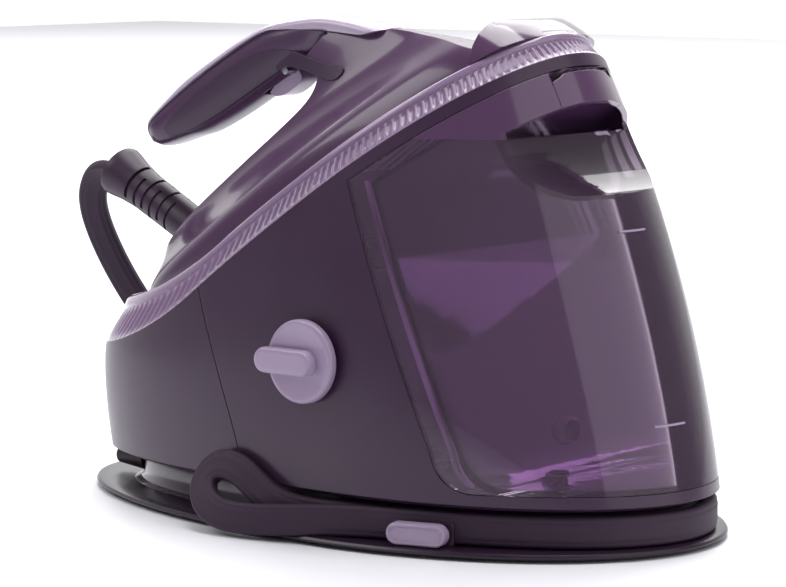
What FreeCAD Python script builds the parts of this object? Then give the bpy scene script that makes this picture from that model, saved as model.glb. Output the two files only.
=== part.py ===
import FreeCAD, Part
import math
import os
from FreeCAD import Placement, Rotation, Vector

# A steam generator iron. Millimetres. X runs from the heel end of the base to its tank end, Y across it
# and Z up. The origin is on the ground, in the middle of the foot plate.

os.makedirs("parts", exist_ok=True)

# ---------------------------------------------------------------- driving dimensions
FOOT_HALF_LENGTH = 222.0
FOOT_HALF_WIDTH = 126.0
FOOT_BOTTOM = 1.5
FOOT_WAIST = 3.5
FOOT_TOP = 6.0
WIDEST_X = 40.0

CASING_BOTTOM = 27.0
CASING_TOP = 305.0
CASING_REAR = -203.5
CASING_FRONT = 219.0
CASING_HALF_WIDTH = 112.0
REAR_LEAN_Z = 92.0
REAR_LEAN = 0.58
REAR_POWER = 2.5
FRONT_POWER = 2.05
WALL = 3.0
FLOOR_TOP = CASING_BOTTOM + 2.5

SLOPE = 0.686                     # rise of the trim ring over X
TILT = math.degrees(math.atan(SLOPE))
RING_LOW = (181.5, 89.0, 246.0)   # height at X = 0, height at the flat rear, radius between
RING_HIGH = (200.0, 118.0, 252.0)
RING_DEPTH = 7.0
TANK_GAP_DROP = 9.0               # the casing's rim between the ring and the tank

SEAM_TOP = (46.9, 203.6)
SEAM_FOOT = (112.0, 56.6)
TANK_FLOOR = 35.5
TANK_TOP = 229.0                  # the hood's lower edge
BORDER = 12.0                     # depth of the tank's clear border in front of the bay wall
TANK_WALL = 3.0
GAP = 0.4

NECK_INSET = 23.0

HOSE_WIDTH = 18.0
HOSE_THICK = 8.6
HOSE_Z = FOOT_TOP + 0.4 + HOSE_WIDTH / 2

KNOB = (28.9, 102.5)              # X and Z of the de-calc port
SOLE_Z = 203.0                    # height of the soleplate's face over X = 0


# ---------------------------------------------------------------- helpers
def save(name, shape):
    """One STEP file for each node."""
    if shape.Volume < 1.0 or not shape.isValid():
        raise RuntimeError(f"{name}: volume {shape.Volume:.1f}, valid {shape.isValid()}")
    shape.exportStep(f"parts/{name}.step")
    box = shape.BoundBox
    print(f"{name:22s} solids {len(shape.Solids)}  volume {shape.Volume / 1000:8.2f} cm3  "
          f"x {box.XMin:7.1f} {box.XMax:7.1f}  y {box.YMin:7.1f} {box.YMax:7.1f}  "
          f"z {box.ZMin:6.1f} {box.ZMax:6.1f}")


def casing_extents(z):
    """Rear X, front X, X of the greatest width and half width of the casing at height z."""
    up = z - CASING_BOTTOM
    lean = z - REAR_LEAN_Z
    rear = CASING_REAR + REAR_LEAN * (lean + math.hypot(lean, 10.0) - 10.0) / 2
    if lean < 0:
        rear += 0.0019 * lean * lean
    front = CASING_FRONT - 0.16 * up - 0.00068 * up * up
    widest = WIDEST_X - 0.00055 * up * up
    half_width = CASING_HALF_WIDTH - 0.00052 * max(0.0, z - 40.0) ** 2
    return rear, front, widest, half_width


def oval(rear, front, widest, half_width, z, powers=(REAR_POWER, FRONT_POWER), count=48):
    """Closed smooth wire of two half superellipses."""
    points = []
    for i in range(count):
        turn = 2 * math.pi * i / count
        c, s = math.cos(turn), math.sin(turn)
        reach, power = (front - widest, powers[1]) if c > 0 else (widest - rear, powers[0])
        x = widest + math.copysign(reach * abs(c) ** (2 / power), c)
        y = math.copysign(half_width * abs(s) ** (2 / power), s)
        points.append(Vector(x, y, z))
    curve = Part.BSplineCurve()
    curve.interpolate(Points=points, PeriodicFlag=True)
    return Part.Wire(curve.toShape())


def casing(low, high, inset=0.0, nose=0.0):
    """The casing's outer form between two heights, drawn in by inset and longer in front by nose."""
    steps = max(2, math.ceil((high - low) / 16.0))
    wires = []
    for i in range(steps + 1):
        z = low + (high - low) * i / steps
        rear, front, widest, half_width = casing_extents(z)
        wires.append(oval(rear + inset, front - inset + nose, widest, half_width - inset, z))
    return Part.makeLoft(wires, True, False)


def outline(start, *steps, y=0.0):
    """A closed face in the XZ plane. A step is a point, or a pair (point on the arc, its end)."""
    at = Vector(start[0], y, start[1])
    first, edges = at, []
    for step in steps:
        if isinstance(step[0], tuple):
            middle, end = (Vector(p[0], y, p[1]) for p in step)
            edges.append(Part.Arc(at, middle, end).toShape())
        else:
            end = Vector(step[0], y, step[1])
            edges.append(Part.makeLine(at, end))
        at = end
    if at.distanceToPoint(first) > 1e-6:
        edges.append(Part.makeLine(at, first))
    return Part.Face(Part.Wire(edges))


def across(face, half_width):
    """A face of the XZ plane made into a prism that reaches half_width to both sides."""
    prism = face.extrude(Vector(0, 2 * half_width, 0))
    prism.translate(Vector(0, -half_width, 0))
    return prism


def slope_z(z0, x):
    return z0 + SLOPE * x


def slope_edge(z0, flat, radius, x_end):
    """Steps of an outline: along the flat rear, round the tangent arc and up the slope to x_end."""
    corner = (flat - z0) / SLOPE
    angle = math.atan(SLOPE)
    reach = radius * math.tan(angle / 2)
    start = (corner - reach, flat)
    end = (corner + reach * math.cos(angle), flat + reach * math.sin(angle))
    middle = (start[0] + radius * math.sin(angle / 2), flat + radius * (1 - math.cos(angle / 2)))
    return [start, (middle, end), (x_end, slope_z(z0, x_end))]


def under_slope(z0, flat, radius, bottom=-10.0, half_width=140.0):
    """Everything under the ring's line, as a prism."""
    steps = slope_edge(z0, flat, radius, 260.0)
    return across(outline((-280.0, bottom), (-280.0, flat), *steps, (260.0, bottom)), half_width)


def cylinder(radius, length, centre, direction=(0, 0, 1)):
    return Part.makeCylinder(radius, length, Vector(*centre), Vector(*direction))


def slab(low, high):
    """A box between two corners."""
    return Part.makeBox(high[0] - low[0], high[1] - low[1], high[2] - low[2], Vector(*low))


def route_wire(points, name, share=0.45):
    """Straight runs joined by tangent arcs, each as large as its two runs allow."""
    at = [Vector(*p) for p in points]
    edges, last, radii = [], at[0], []
    for before, corner, after in zip(at, at[1:], at[2:]):
        into, out = corner - before, after - corner
        reach = share * min(into.Length, out.Length)
        turn = into.getAngle(out)
        start = corner - into.normalize() * reach
        end = corner + out.normalize() * reach
        radius = reach / math.tan(turn / 2)
        radii.append(round(radius))
        bisector = (start + end) * 0.5 - corner
        centre_far = radius / math.cos(turn / 2)
        middle = corner + bisector.normalize() * (centre_far - radius)
        edges.append(Part.LineSegment(last, start).toShape())
        edges.append(Part.Arc(start, middle, end).toShape())
        last = end
    edges.append(Part.LineSegment(last, at[-1]).toShape())
    print(f"{name}: radii {radii} mm, length {sum(e.Length for e in edges):.0f} mm")
    return Part.Wire(edges)


def frame_at(wire, binormal=None):
    """Start point of a wire and the two directions across it."""
    first = wire.OrderedEdges[0]
    along = first.tangentAt(first.FirstParameter)
    up = Vector(*binormal) if binormal else Vector(0, 1, 0).cross(along)
    side = up.cross(along).normalize()
    return first.valueAt(first.FirstParameter), along, side, along.cross(side).normalize()


def round_tube(points, diameter, name):
    wire = route_wire(points, name)
    start, along, _, _ = frame_at(wire)
    ring = Part.Wire(Part.makeCircle(diameter / 2, start, along))
    tube = wire.makePipeShell([ring], True, False)
    expected = math.pi * diameter ** 2 / 4 * wire.Length
    print(f"{name}: volume over section times length {tube.Volume / expected:.3f}")
    return tube


def flat_tube(points, width, thick, name):
    """A flat section, upright, along a level route."""
    wire = route_wire(points, name)
    start, _, side, up = frame_at(wire, (0, 0, 1))
    corners = [start + side * (a * thick / 2) + up * (b * width / 2)
               for a, b in ((-1, -1), (1, -1), (1, 1), (-1, 1))]
    sweep = Part.BRepOffsetAPI.MakePipeShell(wire)
    sweep.setBiNormalMode(Vector(0, 0, 1))
    sweep.add(Part.makePolygon(corners + corners[:1]))
    sweep.build()
    sweep.makeSolid()
    tube = Part.Solid(sweep.shape())
    print(f"{name}: volume over section times length {tube.Volume / (width * thick * wire.Length):.3f}")
    return tube


def screw(x, y, z, direction=(0, 0, 1), length=10.0, head=3.2, shank=1.6):
    """A countersunk-style screw whose head's face is at the point, its shank along direction."""
    at, way = Vector(x, y, z), Vector(*direction)
    return Part.makeCylinder(head, 1.8, at, way).fuse(Part.makeCylinder(shank, length, at, way))


def coil_sleeve(radius, wire_radius, length, centre, direction=(0, 0, 1)):
    """A spring as the closed tube that its turns fill."""
    outer = cylinder(radius + wire_radius, length, centre, direction)
    return outer.cut(cylinder(radius - wire_radius, length, centre, direction))


# ---------------------------------------------------------------- base
def foot_plate():
    lower = oval(-FOOT_HALF_LENGTH + 3, FOOT_HALF_LENGTH - 3, WIDEST_X, FOOT_HALF_WIDTH - 3,
                 FOOT_BOTTOM, (2.0, 2.0))
    waist = oval(-FOOT_HALF_LENGTH, FOOT_HALF_LENGTH, WIDEST_X, FOOT_HALF_WIDTH, FOOT_WAIST,
                 (2.0, 2.0))
    upper = oval(-FOOT_HALF_LENGTH + 4, FOOT_HALF_LENGTH - 4, WIDEST_X, FOOT_HALF_WIDTH - 4,
                 FOOT_TOP, (2.0, 2.0))
    plate = Part.makeLoft([lower, waist], True, True).fuse(Part.makeLoft([waist, upper], True, True))
    for x, y in FEET:
        plate = plate.cut(cylinder(10.2, 2.5, (x, y, FOOT_BOTTOM)))
    return plate


FEET = [(-165, 0), (-60, -82), (-60, 82), (135, -72), (135, 72)]
SCREWS = [(-120, -50), (-120, 50), (60, -60), (60, 60), (150, 0)]


def rubber_feet():
    feet = [cylinder(10.0, 4.0, (x, y, 0)) for x, y in FEET]
    return Part.Compound(feet)


def base_screws():
    return Part.Compound([screw(x, y, FOOT_TOP + 0.2, length=CASING_BOTTOM - FOOT_TOP - 1)
                          for x, y in SCREWS])


def neck_solid(inset):
    rear, front, widest, half_width = casing_extents(CASING_BOTTOM)
    wires = [oval(rear + inset * 0.75, front - inset, widest, half_width - inset, z)
             for z in (FOOT_TOP, CASING_BOTTOM)]
    return Part.makeLoft(wires, True, True)


def base_neck():
    return neck_solid(NECK_INSET).cut(neck_solid(NECK_INSET + 2.5))


def tank_outline(clear=0.0):
    """The tank's side outline. clear draws it in from the casing and from the bay."""
    slip = (SEAM_FOOT[0] - SEAM_TOP[0]) / (SEAM_TOP[1] - SEAM_FOOT[1])
    gap_z = RING_LOW[0] - TANK_GAP_DROP - clear * 1.3
    top_x = (SEAM_TOP[1] + slip ** -1 * (SEAM_TOP[0] + clear * 1.1) - gap_z) / (SLOPE + 1 / slip)
    floor = TANK_FLOOR + clear
    foot = (SEAM_FOOT[0] + clear * 1.1, SEAM_FOOT[1])
    bend = ((foot[0] + 7.6, floor + 6.6), (foot[0] + 23.0, floor))
    return outline((top_x, slope_z(gap_z, top_x)), foot, bend, (260.0, floor),
                   (260.0, slope_z(gap_z, 260.0)))


def shifted(face, dx):
    moved = face.copy()
    moved.translate(Vector(dx, 0, 0))
    return moved


def tank_space(clear=0.0, dx=0.0):
    return across(shifted(tank_outline(clear), dx), 140.0)


def casing_skin():
    outer = casing(CASING_BOTTOM, CASING_TOP).common(under_slope(*RING_LOW))
    inner = casing(FLOOR_TOP, CASING_TOP + 5, WALL)
    skin = outer.cut(inner).cut(tank_space())
    skin = skin.cut(cylinder(19.0, 60.0, (KNOB[0], -60.0, KNOB[1]), (0, -1, 0)))
    return skin.cut(cylinder(8.6, 60.0, (POWER[0], 60.0, POWER[1]), (0, 1, 0)))


POWER = (-20.0, 120.0)            # X and Z of the power button, on the far side
PARTING = ((-64.0, 145.0), (-18.0, 13.0))


def behind_parting(shift=0.0):
    top, foot = ((x + shift, z) for x, z in PARTING)
    return across(outline((-280.0, -10.0), (-280.0, 220.0), (top[0] - 26, 220.0), top, foot,
                          (foot[0], -10.0)), 140.0)


def trim_ring():
    block = casing(60.0, CASING_TOP).cut(casing(59.0, CASING_TOP + 1, RING_DEPTH))
    low = under_slope(RING_LOW[0], RING_LOW[1], RING_LOW[2])
    return block.common(under_slope(*RING_HIGH)).cut(low)


PLATFORM_DROP = 8.0


def iron_platform():
    """The sloping tray inside the ring: its floor, and the heel rest at the rear."""
    top = (RING_HIGH[0] - PLATFORM_DROP, RING_HIGH[1] - 34.0, 60.0)
    bottom = (top[0] - 3.0, top[1] - 3.0, 60.0)
    inside = casing(60.0, CASING_TOP - 3, RING_DEPTH + 0.1)
    tray = inside.common(under_slope(*top)).cut(under_slope(*bottom))
    return tray


def platform_rests():
    """Four silicone rests that carry the soleplate."""
    rests = []
    for s, y in ((-150, 32), (-150, -32), (20, 28), (20, -28)):
        rest = cylinder(9.0, 8.6, (s, y, -9.0))
        rests.append(on_slope(rest))
    return Part.Compound(rests)


def on_slope(shape):
    """From the iron's own frame, with its soleplate level at zero, to its place on the base."""
    placed = shape.copy()
    placed.Placement = Placement(Vector(0, 0, SOLE_Z), Rotation(Vector(0, 1, 0), -TILT)).multiply(
        placed.Placement)
    return placed


def tank_bay():
    """The tank's seat: ribbed back wall, floor and roof in one moulding."""
    inner = across(shifted(tank_outline(-0.4), BORDER + 0.4), 140.0)
    back = across(shifted(tank_outline(-0.4), BORDER - 2.2), 140.0)
    bay = casing(FLOOR_TOP, CASING_TOP - 2, WALL + 0.2)
    wall = bay.common(back).cut(inner)
    roof_low = under_slope(RING_LOW[0] - TANK_GAP_DROP, 20.0, 10.0)
    roof_high = under_slope(RING_LOW[0] - TANK_GAP_DROP + 3.0, 20.0, 10.0)
    clear = slab((-280.0, -140.0, 0), (SEAM_TOP[0] + BORDER - 4, 140.0, 320.0))
    roof = bay.common(roof_high).cut(roof_low).cut(clear)
    floor = slab((SEAM_FOOT[0] + 14.0, -140.0, TANK_FLOOR - 3.2), (260.0, 140.0, TANK_FLOOR - 0.3))
    seat = bay.common(floor)
    ribs = [slab((SEAM_TOP[0] - 20, i * 11.0 - 1.6, 60.0), (SEAM_FOOT[0] + 40, i * 11.0 + 1.6, 216.0))
            for i in range(-7, 8)]
    front = across(shifted(tank_outline(), BORDER - 0.1), 140.0)
    ribbing = Part.Compound(ribs).common(bay).common(front)
    ribbing = ribbing.cut(across(shifted(tank_outline(), BORDER + 1.6), 140.0))
    ribbing = ribbing.common(under_slope(RING_LOW[0] - TANK_GAP_DROP - 14, 20.0, 10.0))
    port = cylinder(VALVE_RADIUS + 1.0, 60.0, (90.0, 0, VALVE_Z), (1, 0, 0))
    return wall.fuse([seat, roof, ribbing]).cut(port)


VALVE_Z = 60.0
VALVE_RADIUS = 8.0
VALVE_X = (110.0, 132.0)          # ends of the tank's outlet spigot
SOCKET_BACK = 94.0


def boiler():
    """A squat pressure vessel with domed ends, on the casing's floor."""
    body = cylinder(56.0, 70.0, (BOILER[0], BOILER[1], 58.0))
    for z, up in ((58.0, -1), (128.0, 1)):
        dome = Part.makeSphere(100.0, Vector(BOILER[0], BOILER[1], z - up * 82.8))
        body = body.fuse(dome.common(slab((-140, -140, min(z, z + up * 18)), (140, 140, max(z, z + up * 18)))))
    port = cylinder(9.0, 16.0, (KNOB[0], -50.0, KNOB[1]), (0, -1, 0))
    inner = cylinder(54.0, 66.0, (BOILER[0], BOILER[1], 60.0))
    return body.fuse(port).cut(inner).cut(cylinder(7.0, 40.0, (KNOB[0], -40.0, KNOB[1]), (0, -1, 0)))


BOILER = (10.0, 0.0)


def boiler_element():
    """The heating ring clamped under the boiler."""
    ring = Part.makeTorus(34.0, 4.0, Vector(BOILER[0], BOILER[1], FLOOR_TOP + 4.3))
    tails = [cylinder(3.0, 10.0, (BOILER[0] - 34.0, y, FLOOR_TOP + 4.3), (-1, 0, 0)) for y in (-9, 9)]
    return Part.Compound([ring.fuse(tails)])


def decalc_collar():
    """The dished ring in the casing's side, with the bore that guides the plug."""
    _, _, _, half_width = casing_extents(KNOB[1])
    tube = cylinder(18.9, half_width - 68.0, (KNOB[0], -68.0, KNOB[1]), (0, -1, 0))
    return tube.cut(cylinder(PLUG_RADIUS + 0.06, 60.0, (KNOB[0], -60.0, KNOB[1]), (0, -1, 0)))


PLUG_RADIUS = 12.0
KNOB_RADIUS = 24.0
KNOB_FACE = 118.4
KNOB_BACK = 112.4


def decalc_plug():
    shank = cylinder(PLUG_RADIUS, 42.0, (KNOB[0], -70.0, KNOB[1]), (0, -1, 0))
    spindle = cylinder(4.0, 17.0, (KNOB[0], -100.0, KNOB[1]), (0, -1, 0))
    return shank.fuse(spindle)


def decalc_knob():
    """A round knob with a raised, rounded bar that stands out past one side of its rim."""
    disc = cylinder(KNOB_RADIUS, KNOB_FACE - KNOB_BACK, (KNOB[0], -KNOB_BACK, KNOB[1]), (0, -1, 0))
    reach, half = 15.0, 6.5
    bar = slab((KNOB[0] - reach, -125.4, KNOB[1] - half), (KNOB[0] + reach, -KNOB_FACE, KNOB[1] + half))
    for x in (-reach, reach):
        bar = bar.fuse(cylinder(half, 7.0, (KNOB[0] + x, -KNOB_FACE, KNOB[1]), (0, -1, 0)))
    knob = disc.fuse(bar.common(cylinder(KNOB_RADIUS + 1.5, 9.0, (KNOB[0], -KNOB_FACE + 1, KNOB[1]), (0, -1, 0))))
    return knob.cut(cylinder(4.06, 5.0, (KNOB[0], -KNOB_BACK + 0.1, KNOB[1]), (0, -1, 0)))


def pump():
    body = cylinder(17.0, 52.0, (-112.0, -30.0, FLOOR_TOP + 20.0), (0, 1, 0))
    head = cylinder(12.0, 14.0, (-112.0, 22.0, FLOOR_TOP + 20.0), (0, 1, 0))
    cradle = slab((-126.0, -26.0, FLOOR_TOP + 0.1), (-98.0, 18.0, FLOOR_TOP + 8.0))
    return body.fuse([head, cradle])


def solenoid_valve():
    coil = slab((-88.0, -84.0, FLOOR_TOP + 0.1), (-62.0, -56.0, FLOOR_TOP + 30.0))
    stem = cylinder(6.0, 16.0, (-75.0, -70.0, FLOOR_TOP + 29.0))
    return coil.fuse(stem)


def control_board():
    board = slab((-150.0, -52.0, 68.5), (-80.0, 40.0, 70.1))
    parts = [slab((-140.0, -50.0, 70.0), (-120.0, -25.0, 76.0)),
             cylinder(6.0, 6.5, (-100.0, -40.0, 70.0)), slab((-112.0, 5.0, 70.0), (-90.0, 30.0, 75.0))]
    posts = [cylinder(3.0, 68.6 - FLOOR_TOP - 0.1, (x, -46.0, FLOOR_TOP + 0.1)) for x in (-146.0, -84.0)]
    return board.fuse(parts + posts)


def seal_ring(thick):
    return Part.makeTorus(VALVE_RADIUS + 1.2, thick, Vector(VALVE_X[0] + 2.5, 0, VALVE_Z), Vector(1, 0, 0))


def docking_seal():
    return seal_ring(0.8)


def docking_socket():
    """The base's half of the tank's outlet: a collar that the spigot slides into."""
    tube = cylinder(VALVE_RADIUS + 3.5, 34.0, (SOCKET_BACK, 0, VALVE_Z), (1, 0, 0))
    tube = tube.cut(cylinder(VALVE_RADIUS + 0.5, 40.0, (SOCKET_BACK + 6.0, 0, VALVE_Z), (1, 0, 0)))
    tube = tube.cut(cylinder(3.0, 20.0, (SOCKET_BACK - 1.0, 0, VALVE_Z), (1, 0, 0)))
    return tube.cut(across(shifted(tank_outline(), BORDER - 3.0), 140.0)).cut(seal_ring(0.82))


def water_pipe():
    route = [(SOCKET_BACK - 0.2, 0, VALVE_Z), (84.0, 0, 56.0), (78.0, 30.0, 44.0), (60.0, 74.0, 40.0),
             (10.0, 84.0, 40.0), (-45.0, 78.0, 42.0), (-92.0, 62.0, 49.0), (-112.0, 54.0, 49.5),
             (-112.0, 36.6, 49.5)]
    return round_tube(route, 7.0, "water_pipe")


def steam_pipe():
    route = [(-10.0, 0, 143.9), (-10.0, 0, 160.0), (-24.0, -36.0, 158.0), (-50.0, -66.0, 128.0),
             (-74.0, -70.0, 100.0), (-75.0, -70.0, FLOOR_TOP + 45.2)]
    return round_tube(route, 7.0, "steam_pipe")


def hose_outlet():
    """Where the hose's inner strand enters the neck."""
    return slab((-173.0, 30.0, FOOT_TOP + 0.1), (-150.4, 72.0, CASING_BOTTOM - 0.1)).cut(
        neck_solid(NECK_INSET))


def mains_gland():
    """The tapered inlet for a mains cord, at the rear of the neck."""
    cone = Part.makeCone(8.0, 5.5, 24.0, Vector(-170.0, -34.0, 16.0), Vector(-1, 0, 0))
    bore = cylinder(3.6, 30.0, (-178.0, -34.0, 16.0), (-1, 0, 0))
    return cone.cut(bore).cut(neck_solid(NECK_INSET))


CLIP_AT = Vector(110.0, -113.5, FOOT_TOP + 6.6)
CLIP_WAY = Vector(-0.264, 0.964, 0)     # inward, square to the casing here
CLIP_HALF = (18.0, 6.3)
CLIP_THICK = 7.0
CLIP_TRAVEL = 3.0


def at_clip(shape):
    """From a frame with X along the groove and Y inward to the hose clip's place."""
    turn = math.degrees(math.atan2(-CLIP_WAY.x, CLIP_WAY.y))
    placed = shape.copy()
    placed.Placement = Placement(CLIP_AT, Rotation(Vector(0, 0, 1), turn)).multiply(placed.Placement)
    return placed


def clip_button():
    reach, half = CLIP_HALF
    body = slab((-reach + half, 0, -half), (reach - half, CLIP_THICK, half))
    ends = [cylinder(half, CLIP_THICK, (x, 0, 0), (0, 1, 0)) for x in (-reach + half, reach - half)]
    pockets = [cylinder(3.2, 4.0, (x, CLIP_THICK - 4.0, 0), (0, 1, 0)) for x in CLIP_SPRINGS]
    dish = slab((-reach + half, -1, -half + 2.6), (reach - half, 1.0, half - 2.6))
    return at_clip(body.fuse(ends).cut(dish).cut(Part.Compound(pockets)))


CLIP_SPRINGS = (-8.0, 8.0)


def hose_clip():
    """The upright tongue on the foot plate that keeps the folded hose in its groove."""
    tongue = slab((-19.0, CLIP_THICK + 3.3, -6.5), (19.0, CLIP_THICK + 4.7, 6.3))
    return at_clip(tongue)


def clip_springs():
    return at_clip(Part.Compound([coil_sleeve(2.3, 0.5, 7.2, (x, CLIP_THICK - 3.9, 0), (0, 1, 0))
                                  for x in CLIP_SPRINGS]))


def power_button():
    """Round push button on the far side."""
    return cylinder(8.3, 9.0, (POWER[0], 101.0, POWER[1]), (0, 1, 0))


def power_switch():
    return slab((POWER[0] - 9, 86.0, POWER[1] - 9), (POWER[0] + 9, 97.0, POWER[1] + 9))


def power_spring():
    return coil_sleeve(4.0, 0.5, 3.8, (POWER[0], 97.1, POWER[1]), (0, 1, 0))


# ---------------------------------------------------------------- hose, one route from iron to base
# The iron's end leaves the sleeve, falls behind the base and enters the groove on the far side. The
# outer strand runs round the front to the loop on the near side, and the inner strand runs back.
HOSE_FROM_IRON = [(-216, 0, 184), (-233, 0, 191), (-250, 2, 187),
                  (-259.9, 6.5, 172.6)]
HOSE_FALL = [(-261, 7, 171), (-264, 18, 148), (-258, 33, 116), (-246, 50, 84), (-226, 66, 54),
             (-196, 80, 31), (-160, 88, 18.5), (-124, 92, HOSE_Z)]
HOSE_OUTER = [(-124, 92, HOSE_Z), (-62, 103, HOSE_Z), (38, 108, HOSE_Z), (102, 102, HOSE_Z),
              (155, 83, HOSE_Z), (193, 55, HOSE_Z), (214, 19, HOSE_Z), (214, -19, HOSE_Z),
              (193, -55, HOSE_Z), (155, -81, HOSE_Z), (108, -99, HOSE_Z), (76, -108, HOSE_Z)]
HOSE_LOOP = [(76, -108, HOSE_Z), (50, -118, 15), (25, -126, 13), (1, -131, 11), (-20, -132, 11.5),
             (-36, -128, 18), (-42, -121, 29), (-33, -117, 38.5), (-17, -117, 36.5), (-3, -117.5, 27.5),
             (13, -118, 19), (33, -113, HOSE_Z), (56, -105, HOSE_Z), (78, -97.5, HOSE_Z)]
HOSE_INNER = [(78, -97.5, HOSE_Z), (104, -90, HOSE_Z), (148, -74, HOSE_Z), (184, -49, HOSE_Z),
              (204, -17, HOSE_Z), (204, 17, HOSE_Z), (184, 49, HOSE_Z), (148, 74, HOSE_Z),
              (99, 92.5, HOSE_Z), (38, 98, HOSE_Z), (-59, 94, HOSE_Z), (-120, 81, HOSE_Z),
              (-150, 64, HOSE_Z)]


# ---------------------------------------------------------------- tank
NOTCH_BACK = (127.0, 232.0)
VISOR_LIP = (162.0, 258.5)
LID_HALF = 27.4
LID_FOOT = (126.0, 231.2)
LID_AXIS = (139.5, 262.5)
TANK_SKIN = 2.6


def notch(grow=0.0):
    """The finger recess under the visor: a scoop with a sloping roof, across the whole width."""
    back = (NOTCH_BACK[0] - grow * 1.4, NOTCH_BACK[1])
    low = 198.0 - grow
    lip_z = VISOR_LIP[1] + SLOPE * 60 + grow * 1.3
    return across(outline(back, ((back[0] + 13.0, low + 13.5 + grow * 0.4), (162.0, low)),
                          (260.0, low + 4.0), (260.0, lip_z), (VISOR_LIP[0], VISOR_LIP[1] + grow * 1.3)),
                  140.0)


def tank_inside():
    """The water's space, above its floor and in front of its back wall."""
    space = casing(TANK_FLOOR, CASING_TOP, TANK_SKIN, 2.0)
    space = space.common(tank_space(GAP + 3.0, BORDER + 1.6))
    return space.common(under_slope(RING_LOW[0] - TANK_GAP_DROP - 5.0, 20.0, 10.0)).cut(notch(2.6))


def tank_form():
    """The whole tank with its hood, as one block."""
    block = casing(TANK_FLOOR - 4, CASING_TOP, 0.0, 0.0).common(tank_space(GAP))
    behind = casing(TANK_FLOOR - 4, CASING_TOP, TANK_SKIN).cut(tank_space(GAP, BORDER + 1.8))
    behind = behind.common(slab((-280, -140, 0), (260, 140, 320)))
    return block.cut(behind).cut(notch())


def above_hood_line():
    """The hood's side of the tank."""
    return across(outline((20.0, HOOD_Z - 26.0), (78.0, HOOD_Z), (260.0, HOOD_Z), (260.0, 340.0),
                          (20.0, 340.0)), 140.0)


HOOD_Z = 229.0


def lid_zone(gap):
    """The room of the filler lid: everything in front of the radial plane through its hinge."""
    (x0, z0), (x1, z1) = LID_FOOT, LID_AXIS
    face = outline((x0 - gap, z0 - gap), (x1 - gap, z1), (x1 - gap, 300.0), (220.0, 300.0),
                   (220.0, z0 - gap))
    return across(face, LID_HALF + gap)


def hinge_room():
    """Room in the hood for the lid's rear edge as it swings up and back."""
    return cylinder(4.4, 2 * LID_HALF + 1.0, (LID_AXIS[0], -LID_HALF - 0.5, LID_AXIS[1]), (0, 1, 0))


def lid_top():
    """The lid stays lower than the hood so that it can swing up under the casing's rim."""
    z0 = RING_LOW[0] - TANK_GAP_DROP - 3.7
    return across(outline((20.0, 0.0), (20.0, slope_z(z0, 20.0)), (260.0, slope_z(z0, 260.0)),
                          (260.0, 0.0)), 140.0)


def valve_spigot():
    tube = cylinder(VALVE_RADIUS, VALVE_X[1] - VALVE_X[0], (VALVE_X[0], 0, VALVE_Z), (1, 0, 0))
    return tube.cut(cylinder(3.06, 60.0, (90.0, 0, VALVE_Z), (1, 0, 0)))


def valve_poppet():
    """Rod with a sealing head inside the tank and a flange for the spring outside."""
    rod = cylinder(3.0, 33.0, (VALVE_X[0] - 9.0, 0, VALVE_Z), (1, 0, 0))
    head = cylinder(6.0, 2.0, (VALVE_X[1] + 0.35, 0, VALVE_Z), (1, 0, 0))
    flange = cylinder(5.5, 2.0, (VALVE_X[0] - 8.0, 0, VALVE_Z), (1, 0, 0))
    return rod.fuse([head, flange])


def valve_spring():
    return coil_sleeve(4.2, 0.5, 5.4, (VALVE_X[0] - 5.7, 0, VALVE_Z), (1, 0, 0))


# ---------------------------------------------------------------- iron, in its own frame
# S runs along the soleplate to the nose, H up from its face. on_slope() puts it on the platform.
# Height, heel S, nose S, widest S, half width
IRON_FORM = [(3.0, -197.0, 118.0, -60.0, 60.0), (26.0, -197.0, 104.0, -62.0, 56.0),
             (40.0, -186.0, 87.0, -62.0, 39.0), (56.0, -176.0, 66.0, -44.0, 27.0),
             (80.0, -160.0, 45.0, -22.0, 21.0), (104.0, -150.0, 18.0, -12.0, 18.0)]
IRON_POWERS = (3.4, 1.75)
HANDLE_HALF = 16.5
GRIP_THICK = 2.0
OPENING_FRONT = (-3.0, 67.0)


def iron_extents(h):
    for low, high in zip(IRON_FORM, IRON_FORM[1:]):
        if h <= high[0] or high is IRON_FORM[-1]:
            share = (h - low[0]) / (high[0] - low[0])
            return [a + (b - a) * share for a, b in zip(low[1:], high[1:])]


def iron_form(inset=0.0, low=3.0, high=104.0):
    wires = []
    steps = 9
    for i in range(steps + 1):
        h = low + (high - low) * i / steps
        heel, nose, widest, half_width = iron_extents(h)
        wires.append(oval(heel + inset, nose - inset * 1.6, widest, half_width - inset, h, IRON_POWERS))
    return Part.makeLoft(wires, True, True)


def iron_side(drop=0.0):
    """Side outline of the iron's shell under its handle."""
    front = [(12.4, 89.3 - drop), (29.6, 75.7 - drop), (35.0, 71.7 - drop), (50.7, 65.8 - drop),
             (84.0, 36.5 - drop),
             (122.0 - drop, 3.0), (122.0 - drop, 1.0)]
    return outline((-205.0, 1.0), (-205.0, 30.0 - drop), (-184.0 + drop, 48.0 - drop),
                   (-147.0, 53.0 - drop), (-42.0, 57.0 - drop),
                   ((OPENING_FRONT[0] + drop, OPENING_FRONT[1]), (-14.0 + drop, 82.0)), *front)


def iron_shell():
    shell = iron_form().common(across(iron_side(), 80.0))
    hollow = iron_form(2.6, 2.9, 60.0).common(across(iron_side(3.0), 80.0))
    hollow = hollow.cut(slab((-230, -80, 57.0), (140, 80, 120.0)))
    socket = hose_axis_cylinder(12.3, -14.0, 60.0)
    return shell.cut(hollow).cut(socket)


def hose_axis_cylinder(radius, start, end):
    root, way = Vector(-161.0, 0, 57.0), Vector(-32.0, 0, 59.0).normalize()
    return Part.makeCylinder(radius, end - start, root + way * start, way)


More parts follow.
